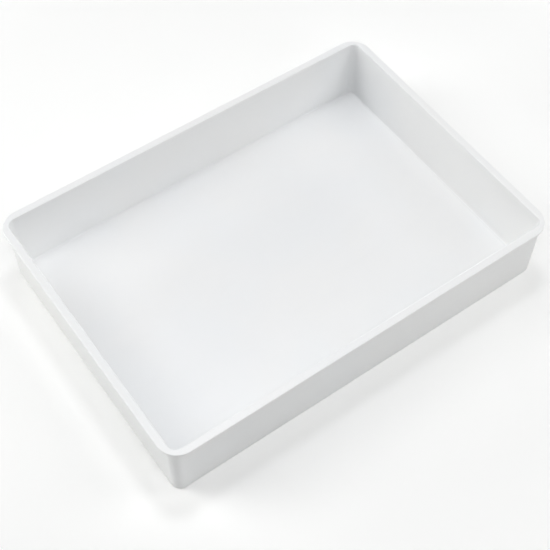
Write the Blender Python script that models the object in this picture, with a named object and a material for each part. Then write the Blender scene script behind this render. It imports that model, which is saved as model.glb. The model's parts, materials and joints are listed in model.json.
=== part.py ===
"""Paint roller tray: a deep, flat-floored tray moulded in one piece from white plastic.

Frame: origin at the middle of the underside, +X along the length, +Y across the width, +Z up.
The rim's top face is at z = HEIGHT, and the foot ring stands on z = 0.

The tray is one closed surface. It is grown like a moulding's section: a rounded outline is
extruded step by step along the section, from the recess under the floor, out over the foot,
up the outer wall, round the rim flange, down the inner wall and in across the floor. The
outlines along the way are unlike: the rim's corners are much rounder than the walls' corners.
"""

import math
from collections import namedtuple

import bmesh
import bpy

MM = 0.001

# Driving dimensions
RIM_LENGTH = 380.0 * MM
RIM_WIDTH = 270.0 * MM
HEIGHT = 65.5 * MM
WALL = 2.5 * MM
FLANGE_OVERHANG = 4.5 * MM
DRAFT = math.radians(0.5)

# Corner radii, seen from above
RIM_CORNER = 19.0 * MM
WALL_CORNER = 8.5 * MM
CAVITY_CORNER = 6.5 * MM

# Edge radii, seen in section
RIM_EDGE = 0.9 * MM
RIM_INNER_EDGE = 1.0 * MM
UNDER_RIM_FILLET = 1.0 * MM
BASE_EDGE = 1.6 * MM
FLOOR_FILLET = 1.5 * MM

# The foot ring that the tray stands on, around a shallow recess
FOOT_WIDTH = 14.0 * MM
FOOT_HEIGHT = 0.7 * MM
RECESS_CORNER = 5.0 * MM

# How finely arcs are divided
CORNER_STEPS = 14
EDGE_STEPS = 4
FILLET_STEPS = 8

COLLECTION_NAME = "paint_roller_tray"
WHITE_PLASTIC = (0.84, 0.85, 0.84, 1.0)
PLASTIC_ROUGHNESS = 0.42
SHARP_ANGLE = math.radians(35.0)

# One outline on the section: inset from the rim's outer edge, height, and corner radius
Outline = namedtuple("Outline", "inset z corner")


def clear_scene():
    for obj in list(bpy.data.objects):
        bpy.data.objects.remove(obj, do_unlink=True)


def drafted(inset_at_rim, z):
    """Inset of a drafted wall at height z, where the tray narrows towards its foot."""
    return inset_at_rim + (HEIGHT - z) * math.tan(DRAFT)


def arc(centre_inset, centre_z, radius, start, end, steps, corner_at):
    """Outlines along an arc of the section, from angle start to end in degrees.

    Angle 0 points outwards from the tray and 90 points up.
    """
    outlines = []
    for step in range(steps + 1):
        angle = math.radians(start + (end - start) * step / steps)
        inset = centre_inset - radius * math.cos(angle)
        z = centre_z + radius * math.sin(angle)
        outlines.append(Outline(inset, z, corner_at(inset)))
    return outlines


def concentric(inset_of_corner, corner):
    """Corner radius that shrinks by as much as an outline moves inwards."""
    return lambda inset: corner - (inset - inset_of_corner)


def flange_corner(inset):
    """Corner radius across the flange, from the rim's edge to the cavity's mouth."""
    mouth_inset = FLANGE_OVERHANG + WALL
    share = min(max(inset / mouth_inset, 0.0), 1.0)
    return RIM_CORNER + (CAVITY_CORNER - RIM_CORNER) * share


def underside():
    base_inset = drafted(FLANGE_OVERHANG, 0.0)
    recess_inset = base_inset + FOOT_WIDTH
    recess = Outline(recess_inset + FOOT_HEIGHT, FOOT_HEIGHT, RECESS_CORNER)
    foot_inner = Outline(recess_inset, 0.0, RECESS_CORNER + FOOT_HEIGHT)
    edge_corner = concentric(base_inset, WALL_CORNER)
    edge = arc(base_inset + BASE_EDGE, BASE_EDGE, BASE_EDGE, -90.0, 0.0, EDGE_STEPS, edge_corner)
    return [recess, foot_inner] + edge


def under_rim():
    z = HEIGHT - WALL - UNDER_RIM_FILLET
    wall_inset = drafted(FLANGE_OVERHANG, z)
    fillet_corner = concentric(wall_inset, WALL_CORNER)
    centre_inset = wall_inset - UNDER_RIM_FILLET
    return arc(centre_inset, z, UNDER_RIM_FILLET, 180.0, 90.0, EDGE_STEPS, fillet_corner)


def rim():
    lower_z = HEIGHT - WALL + RIM_EDGE
    lower = arc(RIM_EDGE, lower_z, RIM_EDGE, -90.0, 0.0, EDGE_STEPS, flange_corner)
    upper_z = HEIGHT - RIM_EDGE
    upper = arc(RIM_EDGE, upper_z, RIM_EDGE, 0.0, 90.0, EDGE_STEPS, flange_corner)
    mouth_inset = FLANGE_OVERHANG + WALL
    centre_inset = mouth_inset - RIM_INNER_EDGE
    centre_z = HEIGHT - RIM_INNER_EDGE
    mouth = arc(centre_inset, centre_z, RIM_INNER_EDGE, 90.0, 180.0, EDGE_STEPS, flange_corner)
    return lower + upper + mouth


def floor_edge():
    z = WALL + FLOOR_FILLET
    foot_inset = drafted(FLANGE_OVERHANG + WALL, z)
    fillet_corner = concentric(foot_inset, CAVITY_CORNER)
    centre_inset = foot_inset + FLOOR_FILLET
    return arc(centre_inset, z, FLOOR_FILLET, 0.0, -90.0, FILLET_STEPS, fillet_corner)


def outline_points(outline):
    """Points round a rectangle with round corners, anticlockwise from above."""
    half_length = RIM_LENGTH / 2 - outline.inset
    half_width = RIM_WIDTH / 2 - outline.inset
    points = []
    for quarter, (side_x, side_y) in enumerate([(1, 1), (-1, 1), (-1, -1), (1, -1)]):
        centre_x = side_x * (half_length - outline.corner)
        centre_y = side_y * (half_width - outline.corner)
        for step in range(CORNER_STEPS + 1):
            angle = math.radians(90.0 * (quarter + step / CORNER_STEPS))
            x = centre_x + outline.corner * math.cos(angle)
            y = centre_y + outline.corner * math.sin(angle)
            points.append((x, y, outline.z))
    return points


def ring_edges(shell, ring):
    return [shell.edges.get(pair) for pair in zip(ring, ring[1:] + ring[:1])]


def extruded_ring(ring, grown):
    """The vertices extruded from a ring, in the ring's own order."""
    grown_verts = {item for item in grown if isinstance(item, bmesh.types.BMVert)}
    followed = []
    for vert in ring:
        neighbours = [edge.other_vert(vert) for edge in vert.link_edges]
        followed.append(next(other for other in neighbours if other in grown_verts))
    return followed


def grow_shell(outlines):
    """Extrude the first outline's edge along the others, and close both ends with a face."""
    shell = bmesh.new()
    ring = [shell.verts.new(point) for point in outline_points(outlines[0])]
    shell.faces.new(ring)
    for outline in outlines[1:]:
        grown = bmesh.ops.extrude_edge_only(shell, edges=ring_edges(shell, ring))["geom"]
        ring = extruded_ring(ring, grown)
        for vert, point in zip(ring, outline_points(outline)):
            vert.co = point
    shell.faces.new(ring)
    bmesh.ops.recalc_face_normals(shell, faces=shell.faces)
    return shell


def plastic_material():
    material = bpy.data.materials.new("white_plastic")
    material.use_nodes = True
    shader = material.node_tree.nodes["Principled BSDF"]
    shader.inputs["Base Color"].default_value = WHITE_PLASTIC
    shader.inputs["Roughness"].default_value = PLASTIC_ROUGHNESS
    shader.inputs["Metallic"].default_value = 0.0
    return material


def build_tray(collection):
    shell = grow_shell(underside() + under_rim() + rim() + floor_edge())
    mesh = bpy.data.meshes.new("tray")
    shell.to_mesh(mesh)
    shell.free()
    mesh.shade_smooth()
    mesh.set_sharp_from_angle(angle=SHARP_ANGLE)
    mesh.materials.append(plastic_material())
    tray = bpy.data.objects.new("tray", mesh)
    collection.objects.link(tray)


def main():
    clear_scene()
    collection = bpy.data.collections.new(COLLECTION_NAME)
    bpy.context.scene.collection.children.link(collection)
    build_tray(collection)


main()
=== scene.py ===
"""Looks for the paint roller tray: a fine mesh of the moulding, its white plastic, and a pale studio.

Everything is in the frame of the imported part: metres, +X along the length, +Y across the width,
+Z up, with the origin in the middle of the underside.
"""

import json
import math
from collections import namedtuple

import bmesh
import bpy
from mathutils import Matrix, Vector


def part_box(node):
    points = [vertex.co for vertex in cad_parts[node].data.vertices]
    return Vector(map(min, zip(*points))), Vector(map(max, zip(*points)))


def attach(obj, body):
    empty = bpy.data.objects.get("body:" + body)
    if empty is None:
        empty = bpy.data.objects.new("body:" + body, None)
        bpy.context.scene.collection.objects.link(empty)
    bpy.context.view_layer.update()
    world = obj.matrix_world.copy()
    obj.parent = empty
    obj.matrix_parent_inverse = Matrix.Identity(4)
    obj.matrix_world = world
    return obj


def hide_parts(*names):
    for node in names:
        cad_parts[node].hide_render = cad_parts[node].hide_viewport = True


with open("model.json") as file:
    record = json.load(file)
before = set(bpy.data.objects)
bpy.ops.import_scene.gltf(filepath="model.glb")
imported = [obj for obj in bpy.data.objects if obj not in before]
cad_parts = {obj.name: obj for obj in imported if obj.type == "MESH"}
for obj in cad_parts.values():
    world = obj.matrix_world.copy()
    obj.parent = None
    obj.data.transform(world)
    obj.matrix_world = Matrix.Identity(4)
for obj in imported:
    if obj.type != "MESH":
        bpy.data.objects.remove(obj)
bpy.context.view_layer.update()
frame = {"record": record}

MM = 0.001

# The tray's outer size and its floor come from the frame
TRAY_LOW, TRAY_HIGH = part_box("tray")
HALF_LENGTH = (TRAY_HIGH[0] - TRAY_LOW[0]) / 2
HALF_WIDTH = (TRAY_HIGH[1] - TRAY_LOW[1]) / 2
FOOT_Z = TRAY_LOW[2]
RIM_Z = TRAY_HIGH[2]
MOUNTS = {mount["name"]: mount for mount in frame["record"]["mounts"]}
FLOOR_Z = MOUNTS["floor_inside"]["pos_m"][2]

# The moulding's section, as the part has it
WALL = FLOOR_Z - FOOT_Z
FLANGE_OVERHANG = 4.5 * MM
DRAFT = math.radians(0.5)
RIM_CORNER = 19.0 * MM
WALL_CORNER = 8.5 * MM
CAVITY_CORNER = 6.5 * MM
RIM_EDGE = 0.9 * MM
RIM_INNER_EDGE = 1.0 * MM
UNDER_RIM_FILLET = 1.0 * MM
BASE_EDGE = 1.6 * MM
FLOOR_FILLET = 1.5 * MM
FOOT_WIDTH = 14.0 * MM
FOOT_HEIGHT = 0.7 * MM
RECESS_CORNER = 5.0 * MM

# The plastic's whites, how glossy or dull it gets, and how much its marks show
PLASTIC_COOL = (0.93, 0.94, 0.945, 1.0)
PLASTIC_WARM = (0.94, 0.942, 0.938, 1.0)
PLASTIC_STREAK = (0.91, 0.918, 0.918, 1.0)
PLASTIC_SCUFFED = (0.80, 0.81, 0.80, 1.0)
PLASTIC_GLOSSY = 0.28
PLASTIC_DULL = 0.36
FLOW_MARKS = 0.25
FLOW_STRETCH = (0.25, 1.0, 1.0)
SCUFF_DARKENING = 0.15
SCUFF_DULLING = 0.1
SCUFF_BAND = 3.0 * MM

# The patterns in the plastic: features per metre, and octaves of detail
CLOUDS = (9.0, 3.0)
FLOW_LINES = (70.0, 4.0)
SCUFF_SPECKS = (260.0, 5.0)
SATIN_PATCHES = (28.0, 4.0)
COOLING_WAVES = (22.0, 1.0)
MOULD_GRAIN = (1500.0, 2.0)

# How strong and how deep the bumps are
WAVE_BUMP = (0.5, 0.1 * MM)
GRAIN_BUMP = (0.3, 0.015 * MM)

# The studio's plain paper floor, and the glow over it: even near the tray and stronger further off
PAPER_WHITE = (0.95, 0.95, 0.937, 1.0)
PAPER_GLOW = 0.09
FAR_GLOW = 1.0
FAR_GLOW_START = 0.35
FAR_GLOW_FULL = 1.2
GLOW_GAP = 0.05 * MM
STAGE_HALF_WIDTH = 6.0

# The lamps: how far off they stand, and their tints
LIGHT_DISTANCE = 1.5
NEUTRAL = (1.0, 1.0, 1.0)
COOL = (0.965, 0.974, 1.0)
WARM = (1.0, 1.0, 0.965)

# Each lamp's direction in degrees, disk width in metres and power in watts. The narrow lamp behind the
# tray stands almost overhead, and casts the shade beside the two near walls.
Lamp = namedtuple("Lamp", "name azimuth elevation size power tint")
LAMPS = [
    Lamp("overhead", -36.0, 68.0, 0.5, 4.6, COOL),
    Lamp("overhead_back", 144.0, 79.0, 0.3, 3.9, COOL),
    Lamp("left_softbox", -126.0, 45.0, 0.8, 7.6, NEUTRAL),
    Lamp("left_strip", -126.0, 12.0, 0.8, 5.9, WARM),
    Lamp("right_softbox", 54.0, 45.0, 0.8, 5.7, NEUTRAL),
    Lamp("right_strip", 99.0, 12.0, 0.8, 3.9, WARM),
    Lamp("front_right_fill", 9.0, 30.0, 0.8, 3.2, NEUTRAL),
    Lamp("back_strip", 144.0, 12.0, 0.8, 5.3, COOL),
]

# The camera: lens and sensor in millimetres, and where it stands from the point it looks at
CAMERA_LENS = 76.85
CAMERA_SENSOR = 36.0
CAMERA_NEAR = 0.01
CAMERA_AIM = (-0.0173, -0.0247)
CAMERA_AZIMUTH = -36.22
CAMERA_ELEVATION = 55.69
CAMERA_DISTANCE = 0.9872
CAMERA_ROLL = math.radians(0.935)

# How finely the visual mesh is divided
CORNER_STEPS = 20
LENGTH_STEPS = 30
WIDTH_STEPS = 20
EDGE_STEPS = 6
FILLET_STEPS = 12
RECESS_FIELD_STEPS = 6
FLOOR_FIELD_STEPS = 10
# Half the width of the face left in the middle of a flat field
FIELD_HALF_WIDTH = 8.0 * MM

Outline = namedtuple("Outline", "inset z corner")


# ---------------------------------------------------------------- tray mesh


def drafted(inset_at_rim, z):
    return inset_at_rim + (RIM_Z - z) * math.tan(DRAFT)


def arc(centre_inset, centre_z, radius, start, end, steps, corner_at):
    """Outlines along an arc of the section; angle 0 points outwards and 90 points up."""
    outlines = []
    for step in range(steps + 1):
        angle = math.radians(start + (end - start) * step / steps)
        inset = centre_inset - radius * math.cos(angle)
        z = centre_z + radius * math.sin(angle)
        outlines.append(Outline(inset, z, corner_at(inset)))
    return outlines


def concentric(inset_of_corner, corner):
    return lambda inset: corner - (inset - inset_of_corner)


def flange_corner(inset):
    mouth_inset = FLANGE_OVERHANG + WALL
    share = min(max(inset / mouth_inset, 0.0), 1.0)
    return RIM_CORNER + (CAVITY_CORNER - RIM_CORNER) * share


def flat_field(start_inset, z, corner, steps):
    """Outlines that cross a flat field from its edge towards the middle line."""
    end_inset = HALF_WIDTH - FIELD_HALF_WIDTH
    outlines = []
    for step in range(steps, 0, -1):
        inset = start_inset + (end_inset - start_inset) * step / steps
        outlines.append(Outline(inset, z, corner))
    return outlines


def underside():
    base_inset = drafted(FLANGE_OVERHANG, FOOT_Z)
    recess_inset = base_inset + FOOT_WIDTH
    recess_z = FOOT_Z + FOOT_HEIGHT
    field = flat_field(recess_inset + FOOT_HEIGHT, recess_z, RECESS_CORNER / 2, RECESS_FIELD_STEPS)
    recess = Outline(recess_inset + FOOT_HEIGHT, recess_z, RECESS_CORNER)
    foot_inner = Outline(recess_inset, FOOT_Z, RECESS_CORNER + FOOT_HEIGHT)
    edge_corner = concentric(base_inset, WALL_CORNER)
    edge_z = FOOT_Z + BASE_EDGE
    edge = arc(base_inset + BASE_EDGE, edge_z, BASE_EDGE, -90.0, 0.0, EDGE_STEPS, edge_corner)
    return field + [recess, foot_inner] + edge


def under_rim():
    z = RIM_Z - WALL - UNDER_RIM_FILLET
    wall_inset = drafted(FLANGE_OVERHANG, z)
    fillet_corner = concentric(wall_inset, WALL_CORNER)
    centre_inset = wall_inset - UNDER_RIM_FILLET
    return arc(centre_inset, z, UNDER_RIM_FILLET, 180.0, 90.0, EDGE_STEPS, fillet_corner)


def rim():
    lower_z = RIM_Z - WALL + RIM_EDGE
    lower = arc(RIM_EDGE, lower_z, RIM_EDGE, -90.0, 0.0, EDGE_STEPS, flange_corner)
    upper_z = RIM_Z - RIM_EDGE
    upper = arc(RIM_EDGE, upper_z, RIM_EDGE, 0.0, 90.0, EDGE_STEPS, flange_corner)
    mouth_inset = FLANGE_OVERHANG + WALL
    centre_inset = mouth_inset - RIM_INNER_EDGE
    centre_z = RIM_Z - RIM_INNER_EDGE
    mouth = arc(centre_inset, centre_z, RIM_INNER_EDGE, 90.0, 180.0, EDGE_STEPS, flange_corner)
    return lower + upper + mouth


def floor_edge():
    z = FLOOR_Z + FLOOR_FILLET
    foot_inset = drafted(FLANGE_OVERHANG + WALL, z)
    fillet_corner = concentric(foot_inset, CAVITY_CORNER)
    centre_inset = foot_inset + FLOOR_FILLET
    edge = arc(centre_inset, z, FLOOR_FILLET, 0.0, -90.0, FILLET_STEPS, fillet_corner)
    field = flat_field(centre_inset, FLOOR_Z, edge[-1].corner, FLOOR_FIELD_STEPS)
    return edge + field[::-1]


def corner_centre(outline, side_x, side_y):
    """Centre of an outline's corner arc, for the corner on the sides given by two signs."""
    x = HALF_LENGTH - outline.inset - outline.corner
    y = HALF_WIDTH - outline.inset - outline.corner
    return Vector((side_x * x, side_y * y))


def outline_points(outline):
    """Points round a rectangle with round corners, anticlockwise from above."""
    corners = [(1, 1), (-1, 1), (-1, -1), (1, -1)]
    points = []
    for quarter, sides in enumerate(corners):
        centre = corner_centre(outline, *sides)
        for step in range(CORNER_STEPS + 1):
            angle = math.radians(90.0 * (quarter + step / CORNER_STEPS))
            ray = Vector((math.cos(angle), math.sin(angle)))
            points.append(centre + ray * outline.corner)
        side_start = points[-1]
        side_end = corner_centre(outline, *corners[(quarter + 1) % 4]) + ray * outline.corner
        side_steps = LENGTH_STEPS if quarter % 2 == 0 else WIDTH_STEPS
        for step in range(1, side_steps):
            points.append(side_start.lerp(side_end, step / side_steps))
    return [(point.x, point.y, outline.z) for point in points]


def loft(outlines):
    """A closed mesh through the outlines, with a face across each end."""
    shell = bmesh.new()
    rings = []
    for outline in outlines:
        rings.append([shell.verts.new(point) for point in outline_points(outline)])
    for lower, upper in zip(rings, rings[1:]):
        for index, corner in enumerate(lower):
            after = (index + 1) % len(lower)
            shell.faces.new((corner, lower[after], upper[after], upper[index]))
    shell.faces.new(rings[0])
    shell.faces.new(rings[-1])
    bmesh.ops.recalc_face_normals(shell, faces=shell.faces)
    return shell


def build_tray():
    shell = loft(underside() + under_rim() + rim() + floor_edge())
    mesh = bpy.data.meshes.new("tray_moulding")
    shell.to_mesh(mesh)
    shell.free()
    mesh.shade_smooth()
    tray = bpy.data.objects.new("tray_moulding", mesh)
    bpy.context.scene.collection.objects.link(tray)
    weighted = tray.modifiers.new("flat_faces_stay_flat", "WEIGHTED_NORMAL")
    weighted.weight = 100
    return tray


# ---------------------------------------------------------------- materials


class Nodes:
    """A material's node tree, with short ways to add and join its nodes."""

    def __init__(self, material):
        material.use_nodes = True
        self.tree = material.node_tree
        self.shader = self.tree.nodes["Principled BSDF"]

    def link(self, output, target):
        self.tree.links.new(output, target)

    def add(self, kind, operation=None, **inputs):
        node = self.tree.nodes.new(kind)
        if operation:
            node.operation = operation
        for name, value in inputs.items():
            self.feed(node.inputs[name.replace("_", " ")], value)
        return node

    def feed(self, target, value):
        if isinstance(value, bpy.types.NodeSocket):
            self.link(value, target)
        else:
            target.default_value = value

    def math(self, operation, first, second=None):
        node = self.add("ShaderNodeMath", operation)
        self.feed(node.inputs[0], first)
        if second is not None:
            self.feed(node.inputs[1], second)
        return node.outputs["Value"]

    def noise(self, position, scale, detail):
        return self.add("ShaderNodeTexNoise", Vector=position, Scale=scale, Detail=detail).outputs["Fac"]

    def length(self, vector):
        node = self.add("ShaderNodeVectorMath", "LENGTH")
        self.link(vector, node.inputs[0])
        return node.outputs["Value"]

    def mix(self, share, first, second):
        """Mix two colours by a share between 0 and 1."""
        node = self.tree.nodes.new("ShaderNodeMix")
        node.data_type = "RGBA"
        colours = [socket for socket in node.inputs if socket.type == "RGBA"]
        self.feed(node.inputs["Factor"], share)
        self.feed(colours[0], first)
        self.feed(colours[1], second)
        return next(socket for socket in node.outputs if socket.type == "RGBA")

    def map_range(self, value, source, target):
        """Smoothly carry a value from one range to another, and hold it at the ends."""
        node = self.add("ShaderNodeMapRange", Value=value)
        node.interpolation_type = "SMOOTHSTEP"
        for name, number in zip(("From Min", "From Max", "To Min", "To Max"), (*source, *target)):
            node.inputs[name].default_value = number
        return node.outputs["Result"]


def moulded_white(nodes, position):
    """Two near whites in soft clouds, with faint flow marks along the tray."""
    clouds = nodes.map_range(nodes.noise(position, *CLOUDS), (0.35, 0.65), (0.0, 1.0))
    whites = nodes.mix(clouds, PLASTIC_COOL, PLASTIC_WARM)
    stretched = nodes.add("ShaderNodeMapping", Vector=position, Scale=FLOW_STRETCH)
    flow = nodes.noise(stretched.outputs["Vector"], *FLOW_LINES)
    return nodes.mix(nodes.map_range(flow, (0.5, 0.8), (0.0, FLOW_MARKS)), whites, PLASTIC_STREAK)


def scuff_share(nodes, position):
    """Fine scuffs on the rim, where hands and rollers rub it."""
    height = nodes.add("ShaderNodeSeparateXYZ", Vector=position).outputs["Z"]
    near_rim = nodes.map_range(height, (RIM_Z - SCUFF_BAND, RIM_Z), (0.0, 1.0))
    specks = nodes.map_range(nodes.noise(position, *SCUFF_SPECKS), (0.58, 0.75), (0.0, 1.0))
    return nodes.math("MULTIPLY", specks, near_rim)


def bump(nodes, height, strength, depth):
    node = nodes.add("ShaderNodeBump", Height=height)
    node.inputs["Strength"].default_value = strength
    node.inputs["Distance"].default_value = depth
    return node


def moulded_surface(nodes, position):
    """The surface's normal: slow waves left by cooling, under the mould's fine satin grain."""
    waves = bump(nodes, nodes.noise(position, *COOLING_WAVES), *WAVE_BUMP)
    grain = bump(nodes, nodes.noise(position, *MOULD_GRAIN), *GRAIN_BUMP)
    nodes.link(waves.outputs["Normal"], grain.inputs["Normal"])
    return grain.outputs["Normal"]


def white_plastic():
    """Satin white plastic, as it leaves its mould and after some handling."""
    material = bpy.data.materials.new("white_plastic")
    nodes = Nodes(material)
    shader = nodes.shader
    position = nodes.add("ShaderNodeTexCoord").outputs["Object"]

    scuffs = scuff_share(nodes, position)
    white = moulded_white(nodes, position)
    worn = nodes.mix(nodes.math("MULTIPLY", scuffs, SCUFF_DARKENING), white, PLASTIC_SCUFFED)
    nodes.link(worn, shader.inputs["Base Color"])

    patches = nodes.noise(position, *SATIN_PATCHES)
    satin = nodes.map_range(patches, (0.3, 0.7), (PLASTIC_GLOSSY, PLASTIC_DULL))
    dulled = nodes.math("ADD", satin, nodes.math("MULTIPLY", scuffs, SCUFF_DULLING))
    nodes.link(dulled, shader.inputs["Roughness"])
    nodes.link(moulded_surface(nodes, position), shader.inputs["Normal"])

    shader.inputs["IOR"].default_value = 1.5
    shader.inputs["Coat Weight"].default_value = 0.06
    shader.inputs["Coat Roughness"].default_value = 0.2
    shader.inputs["Sheen Weight"].default_value = 0.02
    shader.inputs["Sheen Roughness"].default_value = 0.5
    return material


def paper_material():
    """Plain white paper."""
    material = bpy.data.materials.new("studio_paper")
    shader = Nodes(material).shader
    shader.inputs["Base Color"].default_value = PAPER_WHITE
    shader.inputs["Roughness"].default_value = 1.0
    shader.inputs["Specular IOR Level"].default_value = 0.0
    return material


def glow_material():
    """Light added over the paper, even round the tray and stronger far off, where the lamps fade."""
    material = bpy.data.materials.new("background_glow")
    nodes = Nodes(material)
    position = nodes.add("ShaderNodeTexCoord").outputs["Object"]
    far_range = (FAR_GLOW_START, FAR_GLOW_FULL)
    strength = nodes.map_range(nodes.length(position), far_range, (PAPER_GLOW, FAR_GLOW))
    glow = nodes.add("ShaderNodeEmission", Strength=strength)
    clear = nodes.add("ShaderNodeBsdfTransparent")
    both = nodes.add("ShaderNodeAddShader")
    nodes.link(glow.outputs["Emission"], both.inputs[0])
    nodes.link(clear.outputs["BSDF"], both.inputs[1])
    nodes.link(both.outputs["Shader"], nodes.tree.nodes["Material Output"].inputs["Surface"])
    nodes.tree.nodes.remove(nodes.shader)
    return material


# ---------------------------------------------------------------- studio


def build_sheet(name, z, material):
    """A wide flat sheet of the stage, level with z."""
    mesh = bpy.data.meshes.new(name)
    plane = bmesh.new()
    bmesh.ops.create_grid(plane, x_segments=4, y_segments=4, size=STAGE_HALF_WIDTH)
    plane.to_mesh(mesh)
    plane.free()
    mesh.materials.append(material)
    sheet = bpy.data.objects.new(name, mesh)
    sheet.location.z = z
    bpy.context.scene.collection.objects.link(sheet)
    return sheet


def build_stage():
    """Pale paper, and over it a glow that shows in the picture but sheds no light on the tray."""
    build_sheet("studio_paper", FOOT_Z, paper_material())
    glow = build_sheet("background_glow", FOOT_Z + GLOW_GAP, glow_material())
    glow.visible_diffuse = False
    glow.visible_glossy = False
    glow.visible_shadow = False


def direction(azimuth, elevation):
    """Unit vector towards a point at an azimuth and elevation; azimuth 0 is at -Y and 90 at +X."""
    a = math.radians(azimuth)
    e = math.radians(elevation)
    return Vector((math.sin(a) * math.cos(e), -math.cos(a) * math.cos(e), math.sin(e)))


def add_light(lamp):
    """A round area lamp that faces the tray."""
    light = bpy.data.lights.new(lamp.name, "AREA")
    light.shape = "DISK"
    light.size = lamp.size
    light.energy = lamp.power
    light.color = lamp.tint
    holder = bpy.data.objects.new(lamp.name, light)
    centre = Vector((0.0, 0.0, RIM_Z / 2))
    holder.location = centre + direction(lamp.azimuth, lamp.elevation) * LIGHT_DISTANCE
    holder.rotation_mode = "QUATERNION"
    holder.rotation_quaternion = (holder.location - centre).to_track_quat("Z", "Y")
    bpy.context.scene.collection.objects.link(holder)


def build_world():
    """A dark world: the lamps give all the light."""
    world = bpy.data.worlds.new("studio_world")
    world.use_nodes = True
    world.node_tree.nodes["Background"].inputs["Strength"].default_value = 0.0
    bpy.context.scene.world = world


def build_camera():
    """A view from high over the front left corner, with a short telephoto lens."""
    camera = bpy.data.cameras.new("camera")
    camera.lens = CAMERA_LENS
    camera.sensor_width = CAMERA_SENSOR
    camera.clip_start = CAMERA_NEAR
    holder = bpy.data.objects.new("camera", camera)
    aim = Vector((*CAMERA_AIM, RIM_Z / 2))
    back = direction(CAMERA_AZIMUTH, CAMERA_ELEVATION)
    holder.location = aim + back * CAMERA_DISTANCE
    roll = Matrix.Rotation(CAMERA_ROLL, 4, "Z").to_quaternion()
    holder.rotation_mode = "QUATERNION"
    holder.rotation_quaternion = (-back).to_track_quat("-Z", "Y") @ roll
    bpy.context.scene.collection.objects.link(holder)
    bpy.context.scene.camera = holder


# ---------------------------------------------------------------- assembly

tray = build_tray()
tray.data.materials.append(white_plastic())
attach(tray, "root")
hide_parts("tray")

build_stage()
build_world()
for lamp in LAMPS:
    add_light(lamp)
build_camera()
bpy.context.scene.view_settings.view_transform = "Standard"
